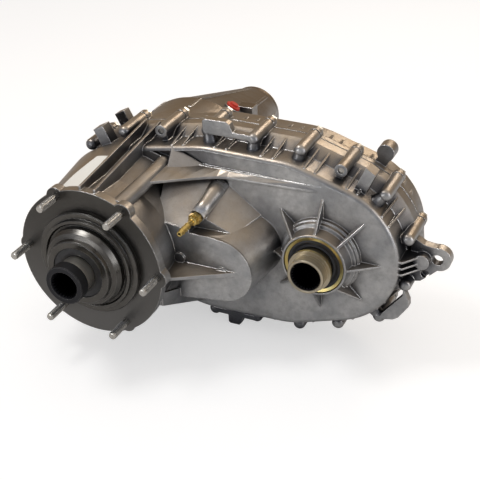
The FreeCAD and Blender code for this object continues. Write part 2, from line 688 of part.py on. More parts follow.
DOG = (19, 27.5, 29.5)         # teeth, minor and major radius of the range dogs
SHAFT_SPLINE = (24, 16.0, 18.0)
HUB_SPLINE = (36, 30.0, 32.0)
SUN_TIP_R = 39.9
PLANET_TIP_R = 15.75
RING_TIP_R = 64.0


def input_shaft():
    sun = prism_y(toothed(SUN_TEETH, 0.0, involute_flank(SUN_TEETH, 35.4, SUN_TIP_R, -BACKLASH)), 39, 61)
    collar = revolve([(0, -63), (24.1, -63), (25.1, -62), (25.1, -48.6), (24.5, -48), (0, -48)])
    seat_end = INPUT_BEARING_Y + BEARING_WIDTH
    body = fuse([collar, cyl(22, -49, 5), cyl(BEARING_R[0], INPUT_BEARING_Y, seat_end), cyl(27, seat_end, 40), sun])
    mouth = cone(18.6, 16.0, -63.01, -60)
    tools = [spline(26, 15.5, 17.3, -64, 10), mouth, cyl(12.06, 36, 47), spline(*DOG, 46, 62, 0.5)]
    return cut(body, tools)


def planet_places():
    """For each planet: its angle, and the angle at which one of its teeth points."""
    sun_step = 360.0 / SUN_TEETH
    places = []
    for k in range(PLANET_COUNT):
        angle = 360.0 * k / PLANET_COUNT
        part = (angle / sun_step) % 1.0
        gap = angle + 180 + part * sun_step * SUN_TEETH / PLANET_TEETH
        places.append((angle, gap + 180.0 / PLANET_TEETH))
    return places


def planet_gear(angle, tooth):
    x, z = polar(PLANET_CIRCLE_R, angle)
    flank = involute_flank(PLANET_TEETH, 10.7, PLANET_TIP_R, -BACKLASH)
    gear = prism_y(toothed(PLANET_TEETH, tooth, flank), RING_Y[0] + 0.3, RING_Y[1] - 0.3)
    gear.translate(V(x, 0, z))
    return gear.cut(cyl(5.06, 30, 70, x, z))


def ring_gear():
    angle, tooth = planet_places()[0]
    step = 360.0 / PLANET_TEETH
    nearest = (tooth - angle + step / 2) % step - step / 2
    phase = angle + nearest * PLANET_TEETH / RING_TEETH
    flank = involute_flank(RING_TEETH, RING_TIP_R, 68.2, BACKLASH)
    hollow = prism_y(toothed(RING_TEETH, phase, flank), RING_Y[0] - 1, RING_Y[1] + 1)
    return cyl(NECK_BORE_R, *RING_Y).cut(hollow)


def planet_carrier():
    plates = [tube(66, 28.5, 32.5, 37.5), cyl(66, 62.5, 69)]
    posts = [radial_block(45 + 90 * k, 43, 61, 14, 37, 63) for k in range(PLANET_COUNT)]
    body = fuse(plates + posts)
    holes = [cyl(5, 30, 72, *polar(PLANET_CIRCLE_R, angle)) for angle, tooth in planet_places()]
    return cut(body, holes + [spline(*DOG, 61, 70, 0.5)])


def planet_pins():
    spots = [polar(PLANET_CIRCLE_R, angle) for angle, tooth in planet_places()]
    return Part.makeCompound([cyl(5, 31.5, 70, x, z) for x, z in spots])


# ---------------------------------------------------------------- main shaft and its sleeves
def mainshaft():
    rear = REAR_BEARING_Y + BEARING_WIDTH
    pieces = [cyl(12, 37, 51), spline(*SHAFT_SPLINE, 50, 107), cyl(20, 106, 178), cyl(24, 127, 132.5)]
    pieces += [spline(*HUB_SPLINE, 178, 204), cyl(21, 203, 263), cyl(BEARING_R[0], REAR_BEARING_Y, rear)]
    pieces += [cyl(19, rear - 1, 381), spline(30, 17.2, 18.9, 380, 470)]
    return fuse(pieces).cut(cyl(3, 120, 480))


def grooved_sleeve(radius, groove_r, groove, y0, y1):
    body = cyl(radius, y0, y1)
    return body.cut(tube(radius + 1, groove_r, *groove))


def range_sleeve():
    body = fuse([spline(*DOG, 51, 59), cyl(26.5, 51, 81), grooved_sleeve(38, 33, (82.5, 89.5), 80, 92)])
    return body.cut(spline(*SHAFT_SPLINE, 50, 93, 0.08))


def mode_sleeve():
    body = grooved_sleeve(44, 40, (186, 193), 171, 199)
    return body.cut(spline(*HUB_SPLINE, 170, 200, 0.08))


def sprocket():
    tip = math.degrees(1.05 / 61.5)
    root = math.degrees(2.4 / 56.5)
    return prism_y(toothed(SPROCKET_TEETH, 95.0, [(56.5, root), (61.5, tip)]), CHAIN_Y[0] + 1, CHAIN_Y[1] - 1)


def drive_sprocket():
    dogs = spline(*HUB_SPLINE, 167, 177)
    faces = [tube(52, 34, CHAIN_Y[0], CHAIN_Y[0] + 8), tube(52, 36, CHAIN_Y[1] - 8, CHAIN_Y[1])]
    return cut(fuse([sprocket(), dogs]), faces + [cyl(20.05, 130, 180)])


def driven_sprocket():
    faces = [tube(52, 34, CHAIN_Y[0], CHAIN_Y[0] + 8), tube(52, 34, CHAIN_Y[1] - 8, CHAIN_Y[1])]
    body = cut(sprocket(), faces + [cyl(24, 130, 180)])
    body.translate(V(CENTRES, 0, 0))
    return body


def chain_pin_spots():
    """Pin centres round both sprockets and along the straight spans, in order."""
    half = SPROCKET_TEETH // 2
    span = (CHAIN_LINKS - SPROCKET_TEETH) // 2
    left = [polar(SPROCKET_R, 90 + 10 * k) for k in range(half + 1)]
    bottom = [(CHAIN_PITCH * k, -SPROCKET_R) for k in range(1, span)]
    right = [polar(SPROCKET_R, 270 + 10 * k, CENTRES) for k in range(half + 1)]
    top = [(CENTRES - CHAIN_PITCH * k, SPROCKET_R) for k in range(1, span)]
    return left + bottom + right + top


def chain_links():
    p = CHAIN_PITCH
    toes = [(p / 2 - 1.5, 1.8), (1.6, 6.2), (-1.6, 6.2), (-4.6, 1)]
    mirrored = [(p - x, z) for x, z in reversed(toes)]
    plate = prism_y([(-4.6, -4), (p + 4.6, -4)] + mirrored + toes, 0, 8)
    plate = plate.cut(cyl(1.95, -1, 9)).cut(cyl(1.95, -1, 9, p))
    spots = chain_pin_spots()
    plates = []
    for k, (x, z) in enumerate(spots):
        nx, nz = spots[(k + 1) % len(spots)]
        turned = spin(plate, math.degrees(math.atan2(nz - z, nx - x)))
        for lane in (0, 2):
            copy = turned.copy()
            copy.translate(V(x, CHAIN_Y[0] + 1.7 + 8.3 * (lane + k % 2), z))
            plates.append(copy)
    return Part.makeCompound(plates)


def chain_pins():
    return Part.makeCompound([cyl(1.9, CHAIN_Y[0] + 1.2, CHAIN_Y[1] - 1.2, x, z) for x, z in chain_pin_spots()])


def snap_ring(shaft_r, y, x=0.0):
    ring = tube(shaft_r + 5.5, shaft_r, y, y + 2.2, x)
    return ring.cut(block(x - 3, x + 3, y - 1, y + 4, shaft_r - 3, shaft_r + 8))


# ---------------------------------------------------------------- front output
def front_output_shaft():
    bearing_end = OUT_BEARING_Y + OUT_BEARING_WIDTH
    sleeve = revolve([(0, OUTPUT_END_Y), (21.9, OUTPUT_END_Y), (22.7, OUTPUT_END_Y + 0.8), (22.7, 104), (0, 104)])
    pieces = [sleeve, cyl(27, 75, 80), cyl(OUT_BEARING_R[0], OUT_BEARING_Y, bearing_end), cyl(24, bearing_end - 1, 170)]
    pieces += [cyl(27.5, bearing_end, 132.8), cyl(22, 169, 225), cyl(17.45, 224, 244)]
    bore = spline(28, 16.4, 18.2, 50, 100)
    shaft = cut(fuse(pieces), [bore, cone(20.2, 16.4, OUTPUT_END_Y - 0.01, OUTPUT_END_Y + 3.4)])
    shaft.translate(V(CENTRES, 0, 0))
    return shaft


def output_seal_case():
    profile = [(33.6, 90.6), (37.2, 89.6), (38.5, 90.8), (38.5, 98), (34.8, 98), (34.8, 92), (33.6, 92)]
    return revolve(profile, CENTRES)


def output_seal_lip():
    profile = [(33.6, 91), (33.6, 96), (26, 96), (22.8, 93.5), (22.8, 92.3), (25.5, 90), (27.5, 91.4), (31, 90.6)]
    return revolve(profile, CENTRES)


# ---------------------------------------------------------------- shift and oil parts
def fork(inner_r, outer_r, plate, boss, pin_y):
    """Half-ring fork with a boss on the rail and a pin in the cam's groove."""
    x, z, rail_r = RAIL
    yoke = tube(outer_r, inner_r, *plate).cut(block(-outer_r - 1, -4, plate[0] - 1, plate[1] + 1, -60, 60))
    web = prism_y([(inner_r + 6, 12), (x, 4 + z), (x, z - 8), (inner_r + 4, -22)], *plate)
    web = web.cut(cyl(inner_r, plate[0] - 1, plate[1] + 1))
    pin = Part.makeCylinder(3, 10, V(x + 8, pin_y, z), V(1, 0, 0))
    return fuse([yoke, web, cyl(12, *boss, x, z), pin]).cut(cyl(rail_r, boss[0] - 1, boss[1] + 1, x, z))


def range_fork():
    return fork(34.2, 46, (82.8, 89.2), (74, 98), 86)


def mode_fork():
    return fork(41.2, 54, (186.3, 192.7), (180, 200), 190)


def shift_rail():
    return cyl(RAIL[2] - 0.05, SHIFT_END_Y[0] + 0.2, SHIFT_END_Y[1] - 0.2, *RAIL[:2])


def shift_cam():
    x, z = CAM
    journal = RAIL[2] - 0.1
    body = fuse([cyl(journal, SHIFT_END_Y[0] + 0.3, 254, x, z), cyl(16, 72, 120, x, z), cyl(16, 172, 216, x, z)])
    grooves = [tube(17, 11.5, 81, 103, x, z), tube(17, 11.5, 185, 205, x, z)]
    key = prism_y([polar(7.5, 90 + 120 * k, x, z) for k in range(3)], 253.5, 264)
    return cut(body, grooves).fuse(key)


PUMP_Y = (232.0, 250.0)
PUMP_OFFSET = 2.0


def oil_pump_body():
    pocket = cyl(37.06, PUMP_Y[0] + 2, PUMP_Y[1] - 2, PUMP_OFFSET)
    body = fuse([cyl(47, *PUMP_Y)] + [radial_block(90 + 120 * k, 40, 93, 12, PUMP_Y[0] + 6, 254) for k in (0, 1, 2)])
    rim = tube(120, 92.98, 200, 260)
    return cut(body, [pocket, cyl(21.4, 230, 256), rim])


def pump_inner_rotor():
    lobes = [polar(27 + 2.4 * (0.5 + 0.5 * math.cos(math.radians(6 * a))), a) for a in range(0, 360, 6)]
    return prism_y(lobes, PUMP_Y[0] + 2.1, PUMP_Y[1] - 2.1).cut(cyl(21, 230, 255))


def pump_outer_rotor():
    scallops = [cyl(4, 230, 255, *polar(29.5, 360 / 7 * k, PUMP_OFFSET)) for k in range(7)]
    ring = tube(37, 31.8, PUMP_Y[0] + 2.1, PUMP_Y[1] - 2.1, PUMP_OFFSET)
    return cut(ring, scallops)


PICKUP_Z = -83.0


def pickup_tube():
    down = Part.makeCylinder(5, 40, V(0, 241, PICKUP_Z), V(0, 0, 1))
    elbow = Part.makeSphere(5, V(0, 241, PICKUP_Z))
    return fuse([down, elbow, cyl(5, 226, 241, 0, PICKUP_Z)]).cut(cyl(47, 225, 252))


def pickup_screen():
    return fuse([cyl(9, 212, 226, 0, PICKUP_Z), cyl(7.6, 210.5, 212.5, 0, PICKUP_Z)])


def magnet():
    return block(58, 92, 172, 182, -116, -100).common(slab(-WALL, 170, FRONT_END_Y))


def tone_wheel():
    flank = [(31, 360 / 24 * 0.28), (34, 360 / 24 * 0.22)]
    return prism_y(toothed(24, 0.0, flank), 300, 308).cut(cyl(19, 299, 309))


def tail_bushing():
    return tube(27.5, 24, 455, 479.5)


NODES = {
    "front_housing": front_housing, "rear_housing": rear_housing, "case_sealant": case_sealant,
    "case_dowels": case_dowels, "case_bolts": case_bolts, "input_studs": input_studs,
    "input_retainer": input_retainer, "input_seal": lambda: lip_seal(22, 34, -31.5, -20.5),
    "input_shaft": input_shaft, "ring_gear": ring_gear, "planet_carrier": planet_carrier,
    "planet_pins": planet_pins, "mainshaft": mainshaft, "range_sleeve": range_sleeve,
    "mode_sleeve": mode_sleeve, "drive_sprocket": drive_sprocket, "driven_sprocket": driven_sprocket,
    "chain_links": chain_links, "chain_pins": chain_pins, "front_output_shaft": front_output_shaft,
    "output_seal_case": output_seal_case, "output_seal_lip": output_seal_lip,
    "output_rear_bearing": lambda: tube(22, 17.5, 228, 245, CENTRES),
    "mainshaft_snap_ring": lambda: snap_ring(19, REAR_BEARING_Y + BEARING_WIDTH),
    "output_snap_ring": lambda: snap_ring(22, 170.2, CENTRES),
    "range_fork": range_fork, "mode_fork": mode_fork, "shift_rail": shift_rail, "shift_cam": shift_cam,
    "detent_plug": detent_plug, "oil_pump_body": oil_pump_body, "pump_inner_rotor": pump_inner_rotor,
    "pump_outer_rotor": pump_outer_rotor, "pickup_tube": pickup_tube, "pickup_screen": pickup_screen,
    "magnet": magnet, "tone_wheel": tone_wheel, "tail_bushing": tail_bushing,
    "tail_seal": lambda: lip_seal(24.2, 34, 482, 496.5), "vent_fitting": vent_fitting, "red_plug": red_plug,
    "fill_plug": lambda: threaded_plug(*filler_spots()[1]), "drain_plug": lambda: threaded_plug(*filler_spots()[0]),
    "label_plate": label_plate,
}
BEARINGS = {
    "input_bearing": (BEARING_R[0], BEARING_R[1], INPUT_BEARING_Y, BEARING_WIDTH, 0.0),
    "rear_bearing": (BEARING_R[0], BEARING_R[1], REAR_BEARING_Y, BEARING_WIDTH, 0.0),
    "output_bearing": (OUT_BEARING_R[0], OUT_BEARING_R[1], OUT_BEARING_Y, OUT_BEARING_WIDTH, CENTRES),
}


def main():
    os.makedirs("parts", exist_ok=True)
    for name, make in NODES.items():
        export(name, make())
    for k, (angle, tooth) in enumerate(planet_places()):
        export("planet_gear_%d" % (k + 1), planet_gear(angle, tooth))
    for name, sizes in BEARINGS.items():
        outer, inner, cage = ball_bearing(*sizes)
        export(name + "_outer", outer)
        export(name + "_inner", inner)
        export(name + "_cage", cage)


main()
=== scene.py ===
"""Transfer case: materials, cast detail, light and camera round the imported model. Metres."""
import json
import math
import bmesh
import bpy
from mathutils import Matrix, Vector


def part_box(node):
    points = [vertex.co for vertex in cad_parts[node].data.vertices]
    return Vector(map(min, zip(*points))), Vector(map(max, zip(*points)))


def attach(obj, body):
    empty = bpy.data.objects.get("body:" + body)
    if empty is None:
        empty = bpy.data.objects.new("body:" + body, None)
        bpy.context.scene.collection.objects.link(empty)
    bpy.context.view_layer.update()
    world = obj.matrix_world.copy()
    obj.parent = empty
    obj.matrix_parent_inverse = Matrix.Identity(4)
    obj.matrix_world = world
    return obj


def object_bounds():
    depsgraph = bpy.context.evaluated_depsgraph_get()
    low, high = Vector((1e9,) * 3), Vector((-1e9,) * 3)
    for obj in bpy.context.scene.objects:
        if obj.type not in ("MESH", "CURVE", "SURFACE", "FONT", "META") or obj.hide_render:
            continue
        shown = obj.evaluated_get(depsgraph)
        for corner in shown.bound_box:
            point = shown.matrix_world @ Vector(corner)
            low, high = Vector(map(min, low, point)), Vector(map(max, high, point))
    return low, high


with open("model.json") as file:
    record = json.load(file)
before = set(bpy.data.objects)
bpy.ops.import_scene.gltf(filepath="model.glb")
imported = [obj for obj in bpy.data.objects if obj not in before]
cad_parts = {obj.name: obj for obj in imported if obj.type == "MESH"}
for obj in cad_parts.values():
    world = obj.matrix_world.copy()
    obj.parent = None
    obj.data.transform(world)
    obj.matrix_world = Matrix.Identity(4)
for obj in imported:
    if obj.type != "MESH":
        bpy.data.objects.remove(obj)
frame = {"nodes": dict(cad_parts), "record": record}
cad_box = [list(corner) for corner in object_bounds()]

MM = 0.001
OUTPUT_X = sum(corner[0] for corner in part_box("front_output_shaft")) / 2    # front output axis
SPLIT_Y = sum(corner[1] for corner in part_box("case_sealant")) / 2            # line between the two halves


# ---------------------------------------------------------------- node helpers
class Graph:
    """Short way to write a material's nodes."""

    def __init__(self, name):
        self.material = bpy.data.materials.new(name)
        self.material.use_nodes = True
        self.tree = self.material.node_tree
        self.tree.nodes.clear()
        self.output = self.add("ShaderNodeOutputMaterial")
        self.shader = self.add("ShaderNodeBsdfPrincipled")
        self.link(self.shader.outputs[0], self.output.inputs[0])
        coordinates = self.add("ShaderNodeTexCoord")
        self.place = coordinates.outputs["Object"]
        self.facing = coordinates.outputs["Normal"]

    def add(self, kind, **values):
        node = self.tree.nodes.new(kind)
        for key, value in values.items():
            setattr(node, key, value)
        return node

    def link(self, source, target):
        self.tree.links.new(source, target)

    def put(self, target, value):
        if hasattr(value, "is_output"):
            self.link(value, target)
        else:
            target.default_value = value

    def noise(self, scale, detail=3.0, rough=0.55, stretch=None):
        node = self.add("ShaderNodeTexNoise")
        node.inputs["Scale"].default_value = scale
        node.inputs["Detail"].default_value = detail
        node.inputs["Roughness"].default_value = rough
        source = self.place
        if stretch:
            mapping = self.add("ShaderNodeMapping")
            mapping.inputs["Scale"].default_value = stretch
            self.link(self.place, mapping.inputs["Vector"])
            source = mapping.outputs[0]
        self.link(source, node.inputs["Vector"])
        return node.outputs["Fac"]

    def math(self, kind, a, b=0.0, clamp=False):
        node = self.add("ShaderNodeMath", operation=kind, use_clamp=clamp)
        self.put(node.inputs[0], a)
        self.put(node.inputs[1], b)
        return node.outputs[0]

    def remap(self, value, low, high, out_low=0.0, out_high=1.0):
        node = self.add("ShaderNodeMapRange")
        self.put(node.inputs["Value"], value)
        node.inputs["From Min"].default_value = low
        node.inputs["From Max"].default_value = high
        node.inputs["To Min"].default_value = out_low
        node.inputs["To Max"].default_value = out_high
        return node.outputs[0]

    def mix(self, factor, a, b):
        node = self.add("ShaderNodeMix", data_type="RGBA")
        self.put(node.inputs[0], factor)
        self.put(node.inputs[6], a)
        self.put(node.inputs[7], b)
        return node.outputs[2]

    def bump(self, height, strength, distance, normal=None):
        node = self.add("ShaderNodeBump")
        node.inputs["Strength"].default_value = strength
        node.inputs["Distance"].default_value = distance
        self.put(node.inputs["Height"], height)
        if normal is not None:
            self.link(normal, node.inputs["Normal"])
        return node.outputs[0]

    def bevel(self, radius, samples=6):
        node = self.add("ShaderNodeBevel", samples=samples)
        node.inputs["Radius"].default_value = radius
        return node.outputs[0]

    def axis(self, vector, name):
        """One component of a vector, by its letter."""
        node = self.add("ShaderNodeSeparateXYZ")
        self.link(vector, node.inputs[0])
        return node.outputs[name]

    def radius(self, centre_x):
        """Distance from the shaft axis that runs along Y through centre_x."""
        x = self.math("SUBTRACT", self.axis(self.place, "X"), centre_x)
        z = self.axis(self.place, "Z")
        return self.math("SQRT", self.math("ADD", self.math("MULTIPLY", x, x), self.math("MULTIPLY", z, z)))

    def corner_shade(self, distance, samples=6, clear=0.90, full=0.30):
        """1 in tight corners, 0 on open surfaces: the mask for painted shade."""
        node = self.add("ShaderNodeAmbientOcclusion", samples=samples)
        node.inputs["Distance"].default_value = distance
        return self.remap(node.outputs["AO"], clear, full)

    def edge_mask(self, bevelled):
        """0 on flat surfaces, rising to 1 along edges."""
        normal = self.add("ShaderNodeNewGeometry").outputs["True Normal"]
        dot = self.add("ShaderNodeVectorMath", operation="DOT_PRODUCT")
        self.link(bevelled, dot.inputs[0])
        self.link(normal, dot.inputs[1])
        return self.remap(dot.outputs["Value"], 0.985, 0.80)

    def finish(self, **sockets):
        names = {"color": "Base Color", "rough": "Roughness", "metal": "Metallic", "normal": "Normal"}
        for key, value in sockets.items():
            self.put(self.shader.inputs[names[key]], value)
        return self.material


def rgb(r, g, b):
    return (r, g, b, 1.0)


# ---------------------------------------------------------------- materials
TURNING_RATE = 4200.0           # radians of turning mark per metre across the flange face
POCKET_Y = (119 * MM, 126 * MM, 163 * MM, 168 * MM)     # the ribbed band round the front half: in, full, out
SPLIT_LINE = (1.3 * MM, 0.9 * MM)       # dark line between the halves: from clear to full
FLANGE_FACE = (0.9 * MM, 0.4 * MM)      # y where the cast surface ends, and where all is machined
COLLAR_Y = -48.2 * MM           # where the input shaft's dark collar begins
NO_COLLAR = -1.0                # far in front of the part, so nothing is darkened
INPUT_BORE_R = 18.2 * MM
OUTPUT_BORE_R = 19.4 * MM


def cast_aluminium():
    """Sand-cast skin: pebbling, oil stains with a painted warm reflection on what faces up, darker brown
    towards the rear, painted shade in corners and between the ribs, painted light and shade on the flange
    face, wear with painted highlights along the edges.
    """
    g = Graph("cast_aluminium")
    soft = g.bevel(1.6 * MM)
    edges = g.edge_mask(soft)
    patches = g.remap(g.noise(16.0, 4.0, 0.6), 0.38, 0.62)
    base = g.mix(patches, rgb(0.37, 0.375, 0.385), rgb(0.60, 0.595, 0.585))
    streaks = g.remap(g.noise(1.0, 4.0, 0.6, (120.0, 22.0, 120.0)), 0.42, 0.66)
    base = g.mix(g.math("MULTIPLY", streaks, 0.30), base, rgb(0.22, 0.215, 0.21))
    y = g.axis(g.place, "Y")
    # oil stain and painted warm reflection: surfaces that face up are tinted warm brown
    upward = g.remap(g.axis(g.facing, "Z"), 0.25, 0.85)
    oil_and_painted_warmth = g.math("MULTIPLY", upward, g.remap(g.noise(26.0, 3.0, 0.6), 0.20, 0.62, 0.45, 0.95))
    base = g.mix(oil_and_painted_warmth, base, rgb(0.42, 0.335, 0.245))
    # darker brown towards the rear, on what faces up
    rearward = g.remap(y, 180 * MM, 340 * MM)
    tail = g.math("MULTIPLY", rearward, g.remap(oil_and_painted_warmth, 0.0, 0.6, 0.25, 0.9))
    base = g.mix(tail, base, rgb(0.20, 0.145, 0.095))
    # painted shade: dark bluish grey in the pockets between the ribs, strongest in their corners
    between_ribs = g.math("MULTIPLY", g.remap(y, *POCKET_Y[:2]), g.remap(y, *reversed(POCKET_Y[2:])))
    painted_pocket_shade = g.math("MULTIPLY", between_ribs, g.corner_shade(40.0 * MM, 6, 0.97, 0.62))
    base = g.mix(g.math("MULTIPLY", painted_pocket_shade, 0.92), base, rgb(0.085, 0.090, 0.105))
    ragged = g.remap(g.noise(260.0, 3.0, 0.7), 0.3, 0.7, -0.9 * MM, 0.9 * MM)
    from_split = g.math("ADD", g.math("ABSOLUTE", g.math("SUBTRACT", y, SPLIT_Y)), ragged)
    base = g.mix(g.remap(from_split, *SPLIT_LINE), base, rgb(0.012, 0.011, 0.010))
    specks = g.remap(g.noise(850.0, 2.0, 0.5), 0.60, 0.74)
    base = g.mix(g.math("MULTIPLY", specks, 0.45), base, rgb(0.14, 0.13, 0.125))
    # painted shade: darkening in corners and hollows
    base = g.mix(g.math("MULTIPLY", g.corner_shade(24.0 * MM), 0.85), base, rgb(0.065, 0.062, 0.065))
    rough = g.remap(g.noise(60.0, 3.0), 0.2, 0.8, 0.27, 0.43)
    face = g.remap(y, *FLANGE_FACE)
    rings = g.remap(g.math("SINE", g.math("MULTIPLY", g.radius(0.0), TURNING_RATE)), -1.0, 1.0)
    # painted light and shade: the turned flange face is darker towards its top and lighter towards its
    # bottom
    flange_painted_gradient = g.remap(g.axis(g.place, "Z"), 60 * MM, -95 * MM)
    turned_face = g.mix(flange_painted_gradient, rgb(0.060, 0.056, 0.050), rgb(0.170, 0.166, 0.160))
    turned_face = g.mix(g.math("MULTIPLY", rings, 0.25), turned_face, rgb(0.20, 0.19, 0.18))
    base = g.mix(face, base, turned_face)
    # wear and painted highlight: edges are lightened to near white
    wear_and_painted_highlight = g.math("MULTIPLY", edges, g.remap(g.noise(160.0, 3.0), 0.22, 0.55), clamp=True)
    color = g.mix(g.math("MULTIPLY", wear_and_painted_highlight, 0.90), base, rgb(0.92, 0.90, 0.87))
    rough = g.math("SUBTRACT", rough, g.math("MULTIPLY", wear_and_painted_highlight, 0.12))
    grains = g.math("ADD", g.noise(1000.0, 2.0, 0.6), g.math("MULTIPLY", g.noise(300.0, 3.0, 0.6), 1.4))
    normal = g.bump(g.noise(70.0, 2.0), 0.35, 0.8 * MM, g.bump(grains, 0.50, 0.20 * MM, soft))
    return g.finish(color=color, rough=rough, metal=0.86, normal=normal)


def machined(name, color, rough, metal=1.0, bevel=0.5, grain=(900.0, 60.0, 900.0), dirt=0.25, edge_highlight_lift=0.08):
    """Turned or ground metal with fine marks, a few stains, eased edges, painted shade in tight corners and
    painted highlights along the edges.
    """
    g = Graph(name)
    soft = g.bevel(bevel * MM, 4)
    edges = g.edge_mask(soft)
    marks = g.noise(1.0, 2.0, 0.5, grain)
    stains = g.remap(g.noise(55.0, 3.0), 0.45, 0.75)
    dark = tuple(c * 0.45 for c in color)
    base = g.mix(g.math("MULTIPLY", stains, dirt), rgb(*color), rgb(*dark))
    # painted shade: darker in tight corners
    base = g.mix(g.math("MULTIPLY", g.corner_shade(3.0 * MM, 4), 0.7), base, rgb(*(c * 0.2 for c in color)))
    # painted highlight: a lighter copy of the colour along the edges
    light = tuple(min(1.0, c * 1.35 + edge_highlight_lift) for c in color)
    base = g.mix(g.math("MULTIPLY", edges, 0.7), base, rgb(*light))
    normal = g.bump(marks, 0.22, 0.06 * MM, soft)
    rough = g.remap(marks, 0.3, 0.7, rough - 0.05, rough + 0.08)
    return g.finish(color=base, rough=rough, metal=metal, normal=normal)


def moulded(name, color, rough, grain=700.0, depth=0.08):
    """Rubber or plastic with a fine moulded skin and dust."""
    g = Graph(name)
    soft = g.bevel(0.5 * MM, 4)
    dust = g.remap(g.noise(120.0, 4.0), 0.50, 0.80)
    light = tuple(min(1.0, c + 0.06) for c in color)
    base = g.mix(g.math("MULTIPLY", dust, 0.5), rgb(*color), rgb(*light))
    normal = g.bump(g.noise(grain, 2.0), 0.3, depth * MM, soft)
    return g.finish(color=base, rough=g.remap(dust, 0.0, 1.0, rough, rough + 0.15), metal=0.0, normal=normal)


def shaft_steel(name, tone, centre_x, collar_end, bore_r):
    """Splined shaft: bright ground shank, dark collar up to collar_end, near-black inside the bore, painted
    highlights along its edges.
    """
    g = Graph(name)
    soft = g.bevel(0.4 * MM, 4)
    edges = g.edge_mask(soft)
    y = g.axis(g.place, "Y")
    rings = g.remap(g.noise(1.0, 1.0, 0.5, (12.0, 1400.0, 12.0)), 0.3, 0.7)
    base = g.mix(g.math("MULTIPLY", rings, 0.45), rgb(*tone), rgb(*(c * 0.4 for c in tone)))
    collar = g.remap(y, collar_end, collar_end - 0.5 * MM)
    base = g.mix(collar, base, rgb(0.04, 0.04, 0.043))
    # painted highlight: lighter colour along the edges
    base = g.mix(g.math("MULTIPLY", edges, 0.65), base, rgb(0.72, 0.70, 0.66))
    # near-black inside the bore
    bore = g.remap(g.radius(centre_x), bore_r, bore_r - 0.6 * MM)
    base = g.mix(bore, base, rgb(0.012, 0.012, 0.014))
    rough = g.math("ADD", g.remap(rings, 0.0, 1.0, 0.28, 0.36), g.math("MULTIPLY", collar, 0.20))
    return g.finish(color=base, rough=rough, metal=1.0, normal=soft)


def yellow_zinc():
    """Passivated plating: gold with faint green and red drift."""
    g = Graph("yellow_zinc")
    drift = g.remap(g.noise(70.0, 2.0), 0.35, 0.65)
    color = g.mix(drift, rgb(0.62, 0.47, 0.17), rgb(0.52, 0.50, 0.26))
    color = g.mix(g.remap(g.noise(150.0, 2.0), 0.6, 0.75), color, rgb(0.60, 0.34, 0.22))
    return g.finish(color=color, rough=0.32, metal=0.95, normal=g.bevel(0.4 * MM, 4))


MATERIALS = {
    "cast_aluminium": cast_aluminium(),
    "machined_aluminium": machined("machined_aluminium", (0.50, 0.50, 0.50), 0.34),
    "dark_steel": machined("dark_steel", (0.10, 0.105, 0.115), 0.38),
    "retainer_steel": machined("retainer_steel", (0.130, 0.124, 0.115), 0.27, grain=(20.0, 900.0, 20.0),
                               edge_highlight_lift=0.42),
    "input_steel": shaft_steel("input_steel", (0.95, 0.90, 0.80), 0.0, COLLAR_Y, INPUT_BORE_R),
    "output_steel": shaft_steel("output_steel", (0.62, 0.54, 0.40), OUTPUT_X, NO_COLLAR, OUTPUT_BORE_R),
    "bright_steel": machined("bright_steel", (0.46, 0.45, 0.44), 0.26),
    "stud_steel": machined("stud_steel", (0.62, 0.60, 0.56), 0.24, bevel=0.12),
    "bearing_steel": machined("bearing_steel", (0.62, 0.62, 0.63), 0.18, dirt=0.1),
    "yellow_zinc": yellow_zinc(),
    "rubber": moulded("rubber", (0.018, 0.018, 0.020), 0.42),
    "sealant": moulded("sealant", (0.03, 0.03, 0.03), 0.5),
    "brass": machined("brass", (0.83, 0.60, 0.20), 0.25, dirt=0.35),
    "red_plastic": moulded("red_plastic", (0.62, 0.05, 0.03), 0.4),
    "white_label": moulded("white_label", (0.93, 0.91, 0.84), 0.45, 300.0, 0.02),
    "pump_plastic": moulded("pump_plastic", (0.05, 0.05, 0.05), 0.45),
    "magnet_grey": moulded("magnet_grey", (0.10, 0.10, 0.10), 0.55),
}
SLOTS = {part["node"]: part["material_slot"] for part in frame["record"]["subparts"]}
NODE_MATERIALS = {"input_retainer": "retainer_steel", "input_shaft": "input_steel",
                  "front_output_shaft": "output_steel"}

for node, slot in SLOTS.items():
    mesh = frame["nodes"][node].data
    mesh.materials.clear()
    mesh.materials.append(MATERIALS[NODE_MATERIALS.get(node, slot)])


# ---------------------------------------------------------------- cast detail
CLOSED_BOSSES = [(97.0, 131.8), (158.1, 129.5), (219.5, 124.8), (326.3, 85.3)]   # x and z of the bolt axes
BOSS_AXIS_Y = 139.4
BOSS_LEG_R = 7.6
BOSS_LEG_LONG = 19.0
BOSS_FOOT_FLARE = 4.5
CASE_MIDDLE_X = 150.0


def dress(name, mesh, slot="cast_aluminium", soften=0.8):
    """Finish a cast piece: material, eased edges, and its place on the case."""
    mesh.materials.append(MATERIALS[slot])
    piece = bpy.data.objects.new(name, mesh)
    bpy.context.scene.collection.objects.link(piece)
    if soften:
        edge = piece.modifiers.new("edge", "BEVEL")
        edge.width = soften * MM
        edge.segments = 2
        edge.limit_method = "ANGLE"
    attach(piece, "case")
    return piece


def turned(body, profile, foot, up, sides=24):
    """Add to a bmesh the surface that a (radius, height) profile sweeps round a line from foot along up."""
    across = up.orthogonal().normalized()
    along = up.cross(across)
    rings = []
    for radius, height in profile:
        ring = []
        for k in range(sides):
            angle = 2 * math.pi * k / sides
            spoke = across * math.cos(angle) + along * math.sin(angle)
            ring.append(body.verts.new(foot + up * height + spoke * radius))
        rings.append(ring)
    for low, high in zip(rings, rings[1:]):
        for k in range(sides):
            n = (k + 1) % sides
            body.faces.new((low[k], low[n], high[n], high[k]))
    body.faces.new(list(reversed(rings[0])))
    body.faces.new(rings[-1])


